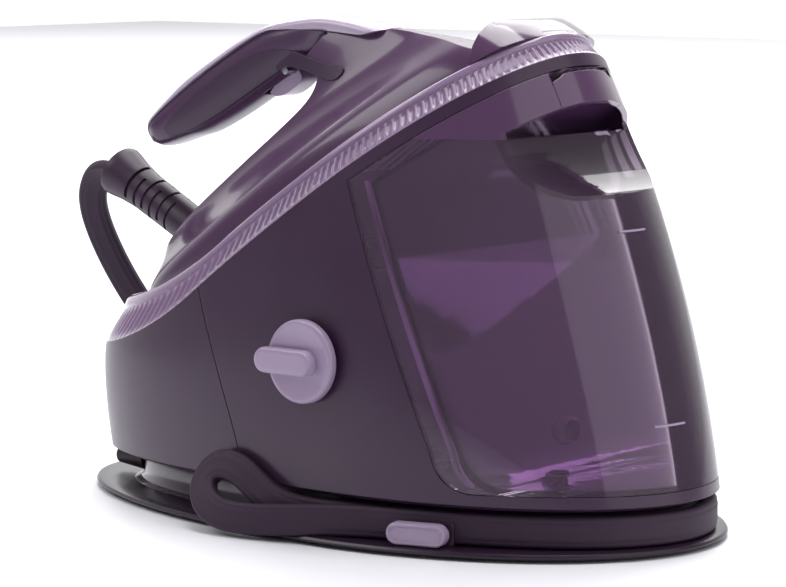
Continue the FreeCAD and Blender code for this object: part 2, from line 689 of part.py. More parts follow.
def iron_plate(low, high, inset):
    heel, nose, widest, half_width = iron_extents(3.0)
    wires = [oval(heel + inset, nose - inset, widest, half_width - inset, h, IRON_POWERS)
             for h in (low, high)]
    return Part.makeLoft(wires, True, True)


def heater_casting():
    block = iron_plate(3.0, 19.0, 16.0)
    chamber = iron_plate(8.0, 14.0, 34.0)
    return block.cut(chamber)


def handle_core():
    """The open-backed handle: a beam that leaves the shell in front and ends in a rounded tip."""
    edge = [(12.4, 89.3), ((-6.0, 103.5), (-31.6, 116.7)), ((-66.0, 122.5), (-100.0, 123.4)),
            (-140.0, 122.0), ((-150.0, 115.0), (-139.0, 104.6)), (-111.0, 95.0), (-76.0, 89.5),
            (-51.0, 87.0), (-30.0, 84.8), (-14.0, 82.0)]
    core = across(outline(*edge), HANDLE_HALF)
    slot = slab((-56.0, -8.0, 60.0), (-22.0, 8.0, 100.0))
    axle = cylinder(2.05, 60.0, (TRIGGER_AXIS[0], -30.0, TRIGGER_AXIS[1]), (0, 1, 0))
    return core.cut(slot).cut(axle)


TRIGGER_AXIS = (-27.5, 87.0)


def handle_top_cover():
    """The light cover that runs from the handle's tip to the front of the iron."""
    edge = [(47.6, 67.4), (46.4, 70.7), (30.2, 85.5), ((2.0, 106.5), (-24.0, 119.1)), ((-62.0, 126.2), (-99.6, 129.4)),
            (-141.7, 126.4), (-150.0, 120.4), (-140.0, 122.1), (-100.0, 123.5),
            ((-66.0, 122.6), (-31.6, 116.8)), ((-6.0, 103.6), (12.4, 89.4)), (29.7, 75.8),
            (35.1, 71.9)]
    return across(outline(*edge), HANDLE_HALF)


def handle_grips():
    """Soft panels let into both sides of the handle."""
    face = outline((-131.0, 111.0), (-99.0, 114.0), (-60.0, 111.0), (-33.0, 104.5), (-26.0, 98.0),
                   (-26.0, 88.4), (-54.0, 91.5), (-82.6, 92.5), (-104.0, 95.5), (-124.0, 101.5))
    panel = face.extrude(Vector(0, GRIP_THICK, 0))
    panels = []
    for y in (HANDLE_HALF + 0.05, -HANDLE_HALF - GRIP_THICK - 0.05):
        side = panel.copy()
        side.translate(Vector(0, y, 0))
        panels.append(side)
    return Part.Compound(panels)


def hose_sleeve():
    """The flared bend relief at the iron's heel, turned about the hose's way out."""
    profile = [(10.4, -12.0), (12.2, -12.0), (12.2, 46.0), (16.0, 66.0), (16.4, 70.0), (13.6, 70.0),
               (10.4, 52.0)]
    points = [Vector(r, 0, along) for r, along in profile]
    sleeve = Part.Face(Part.makePolygon(points + points[:1])).revolve(Vector(), Vector(0, 0, 1), 360)
    lean = math.degrees(math.atan2(32.0, 59.0))
    sleeve.Placement = Placement(Vector(-161.0, 0, 57.0), Rotation(Vector(0, 1, 0), -lean))
    return sleeve


def trigger():
    """The steam trigger: a curved lever with its hub in front."""
    lever = outline((-24.5, 89.5), (-24.5, 79.5), ((-36.0, 79.0), (-48.0, 82.0)), (-52.0, 86.5),
                    (-46.0, 88.5))
    hub = cylinder(3.6, 15.0, (TRIGGER_AXIS[0], -7.5, TRIGGER_AXIS[1]), (0, 1, 0))
    lever = across(lever, 7.5).fuse(hub)
    return lever.cut(cylinder(2.06, 40.0, (TRIGGER_AXIS[0], -20.0, TRIGGER_AXIS[1]), (0, 1, 0)))


def trigger_pin():
    return cylinder(2.0, 2 * HANDLE_HALF - 1.0, (TRIGGER_AXIS[0], 0.5 - HANDLE_HALF, TRIGGER_AXIS[1]),
                    (0, 1, 0))


def trigger_spring():
    return coil_sleeve(2.6, 0.5, 11.0, (-45.0, 0, 88.9))


def micro_switch():
    return slab((-41.5, -4.0, 94.2), (-29.0, 4.0, 99.8))


def thermostat():
    return cylinder(9.0, 8.0, (-20.0, 0, 19.1))


# ---------------------------------------------------------------- carry lock, on the slope
LOCK_TRAVEL = 8.0
LOCK_BACK = 100.0


def carry_lock():
    """The dome that closes the platform's front and slides back over the iron's nose."""
    dome = [oval(20.0, front, 60.0, half, z, (2.0, 2.0))
            for z, front, half in ((262.0, 141.0, 70.0), (282.0, 134.0, 62.0), (290.0, 124.0, 50.0),
                                   (294.0, 108.0, 30.0))]
    block = Part.makeLoft(dome, True, True)
    front = across(outline((LOCK_BACK, 240.0), (LOCK_BACK, 310.0), (180.0, 310.0), (180.0, 240.0)), 100.0)
    low = under_slope(RING_HIGH[0] + 0.4, 20.0, 10.0)
    cap = block.common(front).cut(low)
    hollow = Part.makeLoft([oval(22.0, f - 3.5, 60.0, h - 3.5, z - 3.0, (2.0, 2.0))
                            for z, f, h in ((262.0, 141.0, 70.0), (282.0, 134.0, 62.0),
                                            (290.0, 124.0, 50.0), (294.0, 108.0, 30.0))], True, True)
    return cap.cut(hollow)


# ---------------------------------------------------------------- files
skin = casing_skin()
tank = tank_form()
tank_hood_block = tank.common(above_hood_line())
hood_hollow = casing(HOOD_Z - 30, CASING_TOP, 3.6).common(
    under_slope(RING_LOW[0] - TANK_GAP_DROP - 5.0, 20.0, 10.0)).cut(notch(2.6))
hood = tank_hood_block.cut(hood_hollow.common(tank_space(GAP + 3.0, BORDER + 1.6)))

base_parts = {
    "foot_plate": foot_plate(),
    "rubber_feet": rubber_feet(),
    "base_screws": base_screws(),
    "base_neck": base_neck(),
    "body_shell": skin.cut(behind_parting()),
    "rear_cover": skin.common(behind_parting(-0.05)),
    "trim_ring": trim_ring(),
    "iron_platform": iron_platform(),
    "platform_rests": platform_rests(),
    "tank_bay": tank_bay(),
    "boiler": boiler(),
    "boiler_element": boiler_element(),
    "decalc_collar": decalc_collar(),
    "pump": pump(),
    "solenoid_valve": solenoid_valve(),
    "control_board": control_board(),
    "docking_socket": docking_socket(),
    "docking_seal": docking_seal(),
    "water_pipe": water_pipe(),
    "steam_pipe": steam_pipe(),
    "hose_outlet": hose_outlet(),
    "mains_gland": mains_gland(),
    "hose_clip": hose_clip(),
    "clip_springs": clip_springs(),
    "power_switch": power_switch(),
    "power_spring": power_spring(),
    "hose_fall": round_tube(HOSE_FALL, HOSE_THICK, "hose_fall"),
    "hose_outer": flat_tube(HOSE_OUTER, HOSE_WIDTH, HOSE_THICK, "hose_outer"),
    "hose_loop": round_tube(HOSE_LOOP, HOSE_THICK, "hose_loop"),
    "hose_inner": flat_tube(HOSE_INNER, HOSE_WIDTH, HOSE_THICK, "hose_inner"),
}
base_moving_parts = {
    "decalc_plug": decalc_plug(),
    "decalc_knob": decalc_knob(),
    "clip_button": clip_button(),
    "power_button": power_button(),
    "carry_lock": carry_lock(),
}
tank_parts = {
    "tank_shell": tank.cut(above_hood_line()).cut(tank_inside()).cut(
        cylinder(VALVE_RADIUS, 40.0, (VALVE_X[0], 0, VALVE_Z), (1, 0, 0))),
    "tank_hood": max(hood.cut(lid_zone(0.3)).cut(hinge_room()).Solids, key=lambda solid: solid.Volume),
    "filler_lid": hood.common(lid_zone(0.0)).common(lid_top()),
    "valve_spigot": valve_spigot(),
    "valve_poppet": valve_poppet(),
    "valve_spring": valve_spring(),
}
iron_parts = {
    "soleplate": iron_plate(0.0, 3.0, 1.5),
    "heater_casting": heater_casting(),
    "thermostat": thermostat(),
    "iron_shell": iron_shell(),
    "handle_core": handle_core(),
    "handle_top_cover": handle_top_cover(),
    "handle_grips": handle_grips(),
    "hose_sleeve": hose_sleeve(),
    "trigger": trigger(),
    "trigger_pin": trigger_pin(),
    "trigger_spring": trigger_spring(),
    "micro_switch": micro_switch(),
}
for group in (base_parts, base_moving_parts, tank_parts):
    for name, shape in group.items():
        save(name, shape)
for name, shape in iron_parts.items():
    save(name, on_slope(shape))
save("hose_at_iron", round_tube(HOSE_FROM_IRON, HOSE_THICK, "hose_at_iron"))
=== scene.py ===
import math
import bmesh
import bpy
from mathutils import Matrix, Quaternion, Vector


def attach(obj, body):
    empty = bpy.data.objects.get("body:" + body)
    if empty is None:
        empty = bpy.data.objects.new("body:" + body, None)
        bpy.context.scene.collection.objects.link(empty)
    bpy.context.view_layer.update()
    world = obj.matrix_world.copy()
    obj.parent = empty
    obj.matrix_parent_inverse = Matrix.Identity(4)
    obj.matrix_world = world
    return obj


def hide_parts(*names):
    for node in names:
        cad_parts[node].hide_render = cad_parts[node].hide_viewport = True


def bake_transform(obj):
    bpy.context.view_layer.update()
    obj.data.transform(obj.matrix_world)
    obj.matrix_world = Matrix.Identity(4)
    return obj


# A steam generator iron. Lengths below are in millimetres; meshes are made in metres.
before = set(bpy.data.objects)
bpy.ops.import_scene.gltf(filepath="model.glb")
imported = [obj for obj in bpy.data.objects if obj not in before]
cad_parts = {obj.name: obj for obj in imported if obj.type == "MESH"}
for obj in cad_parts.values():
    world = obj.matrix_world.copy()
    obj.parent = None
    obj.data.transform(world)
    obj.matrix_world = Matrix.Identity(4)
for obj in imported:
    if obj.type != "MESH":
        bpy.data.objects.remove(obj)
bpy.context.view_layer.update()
MM = 0.001
FINE = 1.0


# ---------------------------------------------------------------- shared outlines
SLOPE = 0.686
TILT = math.atan(SLOPE)
RING_LOW = (181.5, 89.0, 246.0)
RING_HIGH = (200.0, 118.0, 252.0)
SEAM_TOP, SEAM_FOOT = (46.9, 203.6), (112.0, 56.6)
TANK_GAP_DROP, TANK_FLOOR, BORDER = 9.0, 35.5, 12.0
NOTCH_BACK, VISOR_LIP = (127.0, 232.0), (162.0, 258.5)
LID_FOOT, LID_AXIS, LID_HALF = (126.0, 231.2), (139.5, 262.5), 27.4
HOOD_Z = 229.0
KNOB = (28.9, 102.5)
POWER = (-20.0, 120.0)
WATER_Z = 163.0


def casing_extents(z):
    up, lean = z - 27.0, z - 92.0
    rear = -203.5 + 0.58 * (lean + math.hypot(lean, 10.0) - 10.0) / 2
    rear += 0.0019 * lean * lean if lean < 0 else 0.0
    front = 219.0 - 0.16 * up - 0.00068 * up * up
    return rear, front, 40.0 - 0.00055 * up * up, 112.0 - 0.00052 * max(0.0, z - 40.0) ** 2


def oval_point(turn, rear, front, widest, half, powers=(2.5, 2.05)):
    c, s = math.cos(turn), math.sin(turn)
    reach, power = (front - widest, powers[1]) if c > 0 else (widest - rear, powers[0])
    return (widest + math.copysign(reach * abs(c) ** (2 / power), c),
            math.copysign(half * abs(s) ** (2 / power), s))


def skin_point(turn, z, inset=0.0, nose=0.0):
    rear, front, widest, half = casing_extents(z)
    return oval_point(turn, rear + inset, front - inset + nose, widest, half - inset)


def line_height(x, line):
    """Height of a line that is flat at the rear, then bends and climbs at the slope."""
    z0, flat, radius = line
    corner, reach = (flat - z0) / SLOPE, radius * math.tan(TILT / 2)
    if x < corner - reach:
        return flat
    if x < corner + reach * math.cos(TILT):
        return flat + radius - math.sqrt(radius ** 2 - (x - corner + reach) ** 2)
    return z0 + SLOPE * x


# ---------------------------------------------------------------- mesh helpers
def to_mesh(points, faces, name="m"):
    mesh = bpy.data.meshes.new(name)
    mesh.from_pydata([tuple(c * MM for c in p) for p in points], [], faces)
    work = bmesh.new()
    work.from_mesh(mesh)
    bmesh.ops.recalc_face_normals(work, faces=work.faces)
    work.to_mesh(mesh)
    work.free()
    return mesh


def rings(loops, closed_path=False, caps=True):
    """A surface through loops of points that all have the same count."""
    n, m = len(loops[0]), len(loops)
    points = [p for loop in loops for p in loop]
    faces = []
    for i in range(m if closed_path else m - 1):
        a, b = i * n, ((i + 1) % m) * n
        for k in range(n):
            l = (k + 1) % n
            faces.append((a + k, a + l, b + l, b + k))
    if caps and not closed_path:
        faces += [tuple(range(n))[::-1], tuple(range((m - 1) * n, m * n))]
    return to_mesh(points, faces)


def turns(count):
    return [2 * math.pi * i / count for i in range(count)]


def casing(low, high, inset=0.0, nose=0.0, step=5.0, count=240):
    count, rows = int(count * FINE), max(2, int((high - low) / step))
    loops = []
    for i in range(rows + 1):
        z = low + (high - low) * i / rows
        loops.append([(*skin_point(t, z, inset, nose), z) for t in turns(count)])
    return rings(loops)


def plate(levels, powers, count=240):
    """Loops (rear, front, widest, half width, z) joined into a solid."""
    return rings([[(*oval_point(t, *level[:4], powers), level[4]) for t in turns(int(count * FINE))]
                  for level in levels])


def prism(side, half, centre=0.0):
    """An outline in the XZ plane made solid from centre - half to centre + half."""
    n = len(side)
    points = [(x, centre + y, z) for y in (-half, half) for x, z in side]
    faces = [tuple(range(n)), tuple(range(2 * n - 1, n - 1, -1))]
    faces += [(i, n + i, n + (i + 1) % n, (i + 1) % n) for i in range(n)]
    return to_mesh(points, faces)


def block(low, high):
    return prism([(low[0], low[2]), (high[0], low[2]), (high[0], high[2]), (low[0], high[2])],
                 (high[1] - low[1]) / 2, (high[1] + low[1]) / 2)


def lathe(profile, at, way, count=72, closed=False):
    """A profile (radius, along) turned about the line through at along way."""
    turn = Vector((0, 0, 1)).rotation_difference(Vector(way))
    loops = [[tuple(Vector(at) + turn @ Vector((r * math.cos(a), r * math.sin(a), along)))
              for a in turns(count)] for r, along in profile]
    return rings(loops, closed_path=closed)


def rounded(radius, length, soft=1.0):
    """Profile of a cylinder with softened rims."""
    steps = [(math.sin(a), 1 - math.cos(a)) for a in (0, 0.4, 0.8, 1.2, 1.5708)]
    low = [(radius - soft + soft * s, soft * c) for s, c in steps]
    high = [(r, length - along) for r, along in reversed(low)]
    return low + high


def arc(start, middle, end, count=16):
    """Points of the circle through three points of a plane, end included."""
    (ax, ay), (bx, by), (cx, cy) = start, middle, end
    d = 2 * (ax * (by - cy) + bx * (cy - ay) + cx * (ay - by))
    ux = ((ax * ax + ay * ay) * (by - cy) + (bx * bx + by * by) * (cy - ay)
          + (cx * cx + cy * cy) * (ay - by)) / d
    uy = ((ax * ax + ay * ay) * (cx - bx) + (bx * bx + by * by) * (ax - cx)
          + (cx * cx + cy * cy) * (bx - ax)) / d
    r = math.hypot(ax - ux, ay - uy)
    a0, a1, a2 = (math.atan2(y - uy, x - ux) for x, y in (start, middle, end))
    sweep = (a2 - a0) % (2 * math.pi)
    if (a1 - a0) % (2 * math.pi) > sweep:
        sweep -= 2 * math.pi
    return [(ux + r * math.cos(a0 + sweep * i / count), uy + r * math.sin(a0 + sweep * i / count))
            for i in range(1, count + 1)]


def smooth(points, each=8):
    """A Catmull-Rom curve through points of a plane, ends included."""
    def blend(p, q, r, s, t):
        return 0.5 * (2 * q + (r - p) * t + (2 * p - 5 * q + 4 * r - s) * t * t
                      + (3 * q - p - 3 * r + s) * t ** 3)

    padded = [points[0]] + list(points) + [points[-1]]
    out = []
    for four in zip(padded, padded[1:], padded[2:], padded[3:]):
        for i in range(each):
            out.append(tuple(blend(*values, i / each) for values in zip(*four)))
    return out + [tuple(points[-1])]


def between(points, x):
    """Height at x of a line of points with rising x."""
    for (x0, z0), (x1, z1) in zip(points, points[1:]):
        if x <= x1:
            return z0 + (z1 - z0) * (x - x0) / (x1 - x0)
    return points[-1][1]


def combine(mesh, other, how):
    host, tool = (bpy.data.objects.new("t", m) for m in (mesh, other))
    for o in (host, tool):
        bpy.context.scene.collection.objects.link(o)
    change = host.modifiers.new("b", "BOOLEAN")
    change.operation, change.object, change.solver = how, tool, "MANIFOLD"
    graph = bpy.context.evaluated_depsgraph_get()
    made = bpy.data.meshes.new_from_object(host.evaluated_get(graph))
    for o in (host, tool):
        bpy.data.objects.remove(o)
    return made


def cut(mesh, *others):
    for other in others:
        mesh = combine(mesh, other, "DIFFERENCE")
    return mesh


def both(mesh, *others):
    for other in others:
        mesh = combine(mesh, other, "INTERSECT")
    return mesh


def fuse(mesh, *others):
    for other in others:
        mesh = combine(mesh, other, "UNION")
    return mesh


def piece(name, mesh, material, body, nodes=(), sharp=34.0):
    mesh.name = name
    if not mesh.polygons:
        raise RuntimeError(name + " is empty")
    mesh.polygons.foreach_set("use_smooth", [True] * len(mesh.polygons))
    mesh.set_sharp_from_angle(angle=math.radians(sharp))
    mesh.materials.clear()
    mesh.materials.append(material)
    made = bpy.data.objects.new(name, mesh)
    bpy.context.scene.collection.objects.link(made)
    if body:
        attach(made, body)
    if nodes:
        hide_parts(*nodes)
    return made


# ---------------------------------------------------------------- materials
def linear(rgb):
    return [((c / 255 + 0.055) / 1.055) ** 2.4 if c > 10 else c / 3294.6 for c in rgb] + [1.0]


def surface(name, rgb, rough, metal=0.0, coat=0.0, grain=0.0, grain_scale=900.0, spread=0.06,
            edge=0.5, tone=0.08, depth=0.5, green=0.68):
    """Plastic, rubber or metal with a little unevenness in tone, gloss and surface.

    depth scales the colour and green its green part, against the white of the studio.
    """
    made = bpy.data.materials.new(name)
    made.use_nodes = True
    nodes, links = made.node_tree.nodes, made.node_tree.links
    shader = nodes["Principled BSDF"]
    shader.inputs["Metallic"].default_value = metal
    shader.inputs["Coat Weight"].default_value = coat
    shader.inputs["Coat Roughness"].default_value = 0.08
    shader.inputs["Specular IOR Level"].default_value = 0.4
    where = nodes.new("ShaderNodeTexCoord")
    cloud = nodes.new("ShaderNodeTexNoise")
    cloud.inputs["Scale"].default_value = 28.0
    cloud.inputs["Detail"].default_value = 4.0
    links.new(where.outputs["Object"], cloud.inputs["Vector"])
    gloss = nodes.new("ShaderNodeMapRange")
    gloss.inputs["To Min"].default_value = max(0.02, rough - spread)
    gloss.inputs["To Max"].default_value = rough + spread
    links.new(cloud.outputs["Fac"], gloss.inputs["Value"])
    links.new(gloss.outputs["Result"], shader.inputs["Roughness"])
    colours = nodes.new("ShaderNodeMix")
    colours.data_type = "RGBA"
    base = [c * depth * part for c, part in zip(linear(rgb), (1.0, green, 1.05, 1.0))]
    colours.inputs[6].default_value = [c * (1 - tone) for c in base[:3]] + [1]
    colours.inputs[7].default_value = [min(1.0, c * (1 + tone)) for c in base[:3]] + [1]
    links.new(cloud.outputs["Fac"], colours.inputs[0])
    links.new(colours.outputs[2], shader.inputs["Base Color"])
    round_edge = nodes.new("ShaderNodeBevel")
    round_edge.samples = 4
    round_edge.inputs["Radius"].default_value = edge * MM
    normal = round_edge.outputs["Normal"]
    if grain:
        fine = nodes.new("ShaderNodeTexNoise")
        fine.inputs["Scale"].default_value = grain_scale
        fine.inputs["Detail"].default_value = 3.0
        links.new(where.outputs["Object"], fine.inputs["Vector"])
        bump = nodes.new("ShaderNodeBump")
        bump.inputs["Strength"].default_value = grain
        bump.inputs["Distance"].default_value = 0.0002
        links.new(fine.outputs["Fac"], bump.inputs["Height"])
        links.new(normal, bump.inputs["Normal"])
        normal = bump.outputs["Normal"]
    links.new(normal, shader.inputs["Normal"])
    return made


def see_through(name, rgb, gloss_rough=0.04, haze=0.05, haze_rgb=(120, 100, 125), ripple=0.0):
    """Thin clear plastic or water: tinted, glossy at glancing angles, with a little haze."""
    made = bpy.data.materials.new(name)
    made.use_nodes = True
    nodes, links = made.node_tree.nodes, made.node_tree.links
    nodes.remove(nodes["Principled BSDF"])
    clear, shine = nodes.new("ShaderNodeBsdfTransparent"), nodes.new("ShaderNodeBsdfGlossy")
    fog = nodes.new("ShaderNodeBsdfDiffuse")
    clear.inputs["Color"].default_value = linear(rgb)
    fog.inputs["Color"].default_value = linear(haze_rgb)
    shine.inputs["Roughness"].default_value = gloss_rough
    facing = nodes.new("ShaderNodeFresnel")
    facing.inputs["IOR"].default_value = 1.45
    noise, bump = nodes.new("ShaderNodeTexNoise"), nodes.new("ShaderNodeBump")
    where = nodes.new("ShaderNodeTexCoord")
    noise.inputs["Scale"].default_value = 60.0
    noise.inputs["Detail"].default_value = 2.0
    bump.inputs["Strength"].default_value = ripple
    bump.inputs["Distance"].default_value = 0.002
    links.new(where.outputs["Object"], noise.inputs["Vector"])
    links.new(noise.outputs["Fac"], bump.inputs["Height"])
    links.new(bump.outputs["Normal"], shine.inputs["Normal"])
    links.new(bump.outputs["Normal"], facing.inputs["Normal"])
    hazy, whole = nodes.new("ShaderNodeMixShader"), nodes.new("ShaderNodeMixShader")
    hazy.inputs[0].default_value = haze
    links.new(clear.outputs[0], hazy.inputs[1])
    links.new(fog.outputs[0], hazy.inputs[2])
    links.new(facing.outputs[0], whole.inputs[0])
    links.new(hazy.outputs[0], whole.inputs[1])
    links.new(shine.outputs[0], whole.inputs[2])
    links.new(whole.outputs[0], nodes["Material Output"].inputs["Surface"])
    return made


def fluted_painted_shade(material, pitch, valley_painted_shade):
    """Paints shade into the valleys of upright flutes that repeat along Y, as colour darkened by a cosine of
    Y.
    """
    nodes, links = material.node_tree.nodes, material.node_tree.links
    where, split = nodes.new("ShaderNodeTexCoord"), nodes.new("ShaderNodeSeparateXYZ")
    scale, wave = nodes.new("ShaderNodeMath"), nodes.new("ShaderNodeMath")
    shade, shade_multiply = nodes.new("ShaderNodeMapRange"), nodes.new("ShaderNodeMix")
    scale.operation, wave.operation = "MULTIPLY", "COSINE"
    scale.inputs[1].default_value = 2 * math.pi / (pitch * MM)
    shade.inputs["From Min"].default_value = -1.0
    shade.inputs["To Min"].default_value = valley_painted_shade
    shade_multiply.data_type, shade_multiply.blend_type = "RGBA", "MULTIPLY"
    shade_multiply.inputs[0].default_value = 1.0
    base = nodes["Principled BSDF"].inputs["Base Color"]
    links.new(base.links[0].from_socket, shade_multiply.inputs[6])
    links.new(where.outputs["Object"], split.inputs[0])
    links.new(split.outputs["Y"], scale.inputs[0])
    links.new(scale.outputs[0], wave.inputs[0])
    links.new(wave.outputs[0], shade.inputs["Value"])
    links.new(shade.outputs["Result"], shade_multiply.inputs[7])
    links.new(shade_multiply.outputs[2], base)
    return material


CASING = surface("casing", (78, 60, 81), 0.34, grain=0.12, coat=0.15, edge=0.8)
PLATE = surface("plate", (56, 42, 58), 0.3, grain=0.1, edge=0.6)
NECK = surface("neck", (84, 66, 87), 0.2, coat=0.4)
# The ring keeps its purple hue, but its colour is raised well above the band's own dark plastic as painted
# highlight for the shine on its ribs.
RING_PAINTED_HIGHLIGHT = surface("ring", (172, 152, 177), 0.18, coat=0.6, edge=0.4, depth=0.6, green=0.85)
IRON = surface("iron", (112, 90, 116), 0.24, coat=0.35, edge=1.2)
HANDLE = surface("handle", (100, 80, 104), 0.3, coat=0.2, edge=1.0)
COVER = surface("cover", (222, 206, 227), 0.24, coat=0.4, edge=0.8, depth=0.6, green=0.97)
GRIP = surface("grip", (80, 62, 84), 0.36, grain=0.2, edge=0.8)
LIGHT = surface("light", (170, 152, 176), 0.3, coat=0.3, edge=0.8, depth=0.85, green=0.97)
HOOD = surface("hood", (112, 90, 116), 0.16, coat=0.6, edge=0.8)
FLUTE_PITCH = 7.6
# The bay's walls are coloured near white as painted light, standing in for the light that the casing keeps
# from them, and their flute valleys get painted shade.
BAY_PAINTED_LIGHT_AND_SHADE = fluted_painted_shade(surface("bay", (244, 226, 248), 0.3, edge=0.5, depth=1.0, green=0.85), FLUTE_PITCH, 0.25)
TRAY = surface("tray", (60, 46, 62), 0.5, grain=0.3)
RUBBER = surface("rubber", (44, 36, 46), 0.5, grain=0.3, edge=0.5)
HOSE = surface("hose", (66, 50, 69), 0.6, grain=0.8, grain_scale=2200.0, edge=0.3)
SLEEVE = surface("sleeve_rubber", (72, 56, 75), 0.42, grain=0.2, edge=0.4)
STEEL = surface("steel", (190, 190, 192), 0.28, metal=1.0, spread=0.08, depth=0.85, green=1.0)
ALLOY = surface("alloy", (178, 178, 180), 0.42, metal=1.0, grain=0.4, depth=0.85, green=1.0)
BRASS = surface("brass", (196, 158, 88), 0.3, metal=1.0, depth=0.85, green=1.0)
BOARD = surface("board", (28, 74, 46), 0.45, depth=0.85, green=1.0)
INNER = surface("inner", (196, 194, 188), 0.5, depth=0.85, green=1.0)
CLEAR = see_through("clear_tank", (238, 226, 241), haze=0.16, haze_rgb=(150, 120, 154))
WATER = see_through("water", (214, 196, 220), haze=0.14, haze_rgb=(78, 56, 82), ripple=0.2)

for name, material in {
        "boiler": ALLOY, "boiler_element": STEEL, "pump": INNER, "solenoid_valve": BRASS,
        "control_board": BOARD, "docking_socket": INNER, "docking_seal": RUBBER, "water_pipe": INNER,
        "steam_pipe": INNER, "power_switch": INNER, "power_spring": STEEL, "clip_springs": STEEL,
        "base_screws": STEEL, "valve_spigot": INNER, "valve_poppet": RUBBER, "valve_spring": STEEL,
        "heater_casting": ALLOY, "thermostat": STEEL, "trigger_pin": STEEL, "trigger_spring": STEEL,
        "micro_switch": INNER, "decalc_plug": BRASS, "platform_rests": RUBBER, "iron_platform": TRAY,
        "hose_clip": CASING, "decalc_collar": CASING, "hose_outlet": NECK, "mains_gland": RUBBER,
        "power_button": LIGHT, "rubber_feet": RUBBER}.items():
    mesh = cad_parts[name].data
    mesh.materials.clear()
    mesh.materials.append(material)


# ---------------------------------------------------------------- base
def below(line, z_low=-10.0, half=140.0):
    xs = [-280 + 6 * i for i in range(91)]
    return prism([(-280.0, z_low)] + [(x, line_height(x, line)) for x in xs] + [(260.0, z_low)], half)


def tank_outline(clear=0.0, dx=0.0):
    slip = (SEAM_FOOT[0] - SEAM_TOP[0]) / (SEAM_TOP[1] - SEAM_FOOT[1])
    gap_z = RING_LOW[0] - TANK_GAP_DROP - clear * 1.3
    top_x = (SEAM_TOP[1] + (SEAM_TOP[0] + clear * 1.1) / slip - gap_z) / (SLOPE + 1 / slip)
    floor, foot = TANK_FLOOR + clear, (SEAM_FOOT[0] + clear * 1.1, SEAM_FOOT[1])
    side = [(top_x, gap_z + SLOPE * top_x), foot]
    side += arc(foot, (foot[0] + 7.6, floor + 6.6), (foot[0] + 23.0, floor))
    side += [(260.0, floor), (260.0, gap_z + SLOPE * 260.0)]
    return [(x + dx, z) for x, z in side]


def slope_half_space(z0, high=False, x_low=-60.0, x_high=260.0):
    edge = 340.0 if high else -20.0
    return prism([(x_low, edge), (x_low, z0 + SLOPE * x_low), (x_high, z0 + SLOPE * x_high),
                  (x_high, edge)], 140.0)


piece("plate_and_foot", fuse(
    plate([(-219.5, 219.5, 40, 123.5, 1.5), (-221.6, 221.6, 40, 125.6, 2.6), (-222, 222, 40, 126, 3.6),
           (-221, 221, 40, 125, 5.0), (-218.5, 218.5, 40, 122.5, 5.9), (-214, 214, 40, 118, 6.0)],
          (2.0, 2.0))), PLATE, "base", ["foot_plate"])

rear, front, widest, half = casing_extents(27.0)
neck = [(rear + 17.25 + a, front - 23 - a, widest, half - 23 - a, z)
        for a, z in ((-6.0, 6.05), (-2.0, 7.5), (0, 10.5), (0, 23.0), (-1.5, 25.5), (-5.0, 26.9))]
piece("neck", plate(neck, (2.5, 2.05)), NECK, "base", ["base_neck"])

PARTING = smooth([(-96.0, 260.0), (-82.0, 190.0), (-66.0, 140.0), (-44.0, 92.0), (-26.0, 50.0),
                  (-19.0, 20.0), (-18.0, 0.0)], 6)
outer = casing(27.0, 305.0, step=4.0, count=320)
low_edge = plate([(-196.5, 214.5, 40, 107.5, 26.9), (-200.5, 218.0, 40, 110.8, 28.6),
                  (-210.0, 226.0, 40, 118.0, 34.0), (-260, 260, 40, 150, 320.0)], (2.5, 2.05))
skin = both(outer, below(RING_LOW), low_edge)
skin = cut(skin, casing(29.5, 310.0, 3.0, step=8.0), prism(tank_outline(), 140.0),
           lathe(rounded(19.0, 70.0, 0.3), (KNOB[0], -60.0, KNOB[1]), (0, -1, 0)),
           lathe(rounded(8.6, 60.0, 0.3), (POWER[0], 60.0, POWER[1]), (0, 1, 0)))
rear_side = [(x - 0.35, z) for x, z in PARTING] + [(-280.0, 0.0), (-280.0, 260.0)]
front_side = [(x + 0.35, z) for x, z in PARTING] + [(300.0, 0.0), (300.0, 320.0), (-96.0, 320.0)]
piece("casing_front", both(skin, prism(front_side, 140.0)), CASING, "base", ["body_shell"])
piece("casing_rear", both(skin, prism(rear_side, 140.0)), CASING, "base", ["rear_cover"])


# The ring: a ribbed band that leans in, and a smooth rounded lip on top.
RIB_DEPTH, RIB_PITCH = 1.9, 5.6


def ring_band():
    count = int(2400 * FINE)
    profile = [(0.1, -0.01), (0.5, 0.02)] + [(0.5 + 4.6 * i / 8, 0.02 + 0.7 * i / 8) for i in range(1, 9)]
    lip = [(4.6, 0.735), (4.0, 0.76), (3.9, 0.82), (4.2, 0.93), (5.0, 0.985), (6.2, 1.0), (7.2, 0.97),
           (7.6, 0.9), (8.2, 0.1), (8.2, -0.01)]
    turn_at, run, last = [], 0.0, None
    for t in turns(count):
        here = skin_point(t, 180.0)
        run += math.dist(here, last) if last else 0.0
        turn_at.append((t, run))
        last = here
    total = run + math.dist(last, skin_point(0.0, 180.0))
    ribs = round(total / RIB_PITCH)
    loops = []
    for t, along in turn_at:
        loop = []
        wave = 0.5 + 0.5 * math.cos(2 * math.pi * ribs * along / total)
        for k, (inset, share) in enumerate(profile + lip):
            z = 200.0
            for _ in range(14):
                x, y = skin_point(t, z, inset)
                low, high = line_height(x, RING_LOW), line_height(x, RING_HIGH)
                z = low + (high - low) * share
            if 1 < k < len(profile) - 1:
                toward_heel = min(1.0, max(0.0, (x + 190.0) / 60.0))
                fade = toward_heel * min(1.0, (k - 1) / 2, (len(profile) - 1 - k) / 2)
                x, y = skin_point(t, z, inset + RIB_DEPTH * wave * fade)
            loop.append((x, y, z))
        loops.append(loop)
    return rings(loops, closed_path=True)


piece("ring", ring_band(), RING_PAINTED_HIGHLIGHT, "base", ["trim_ring"], sharp=50.0)


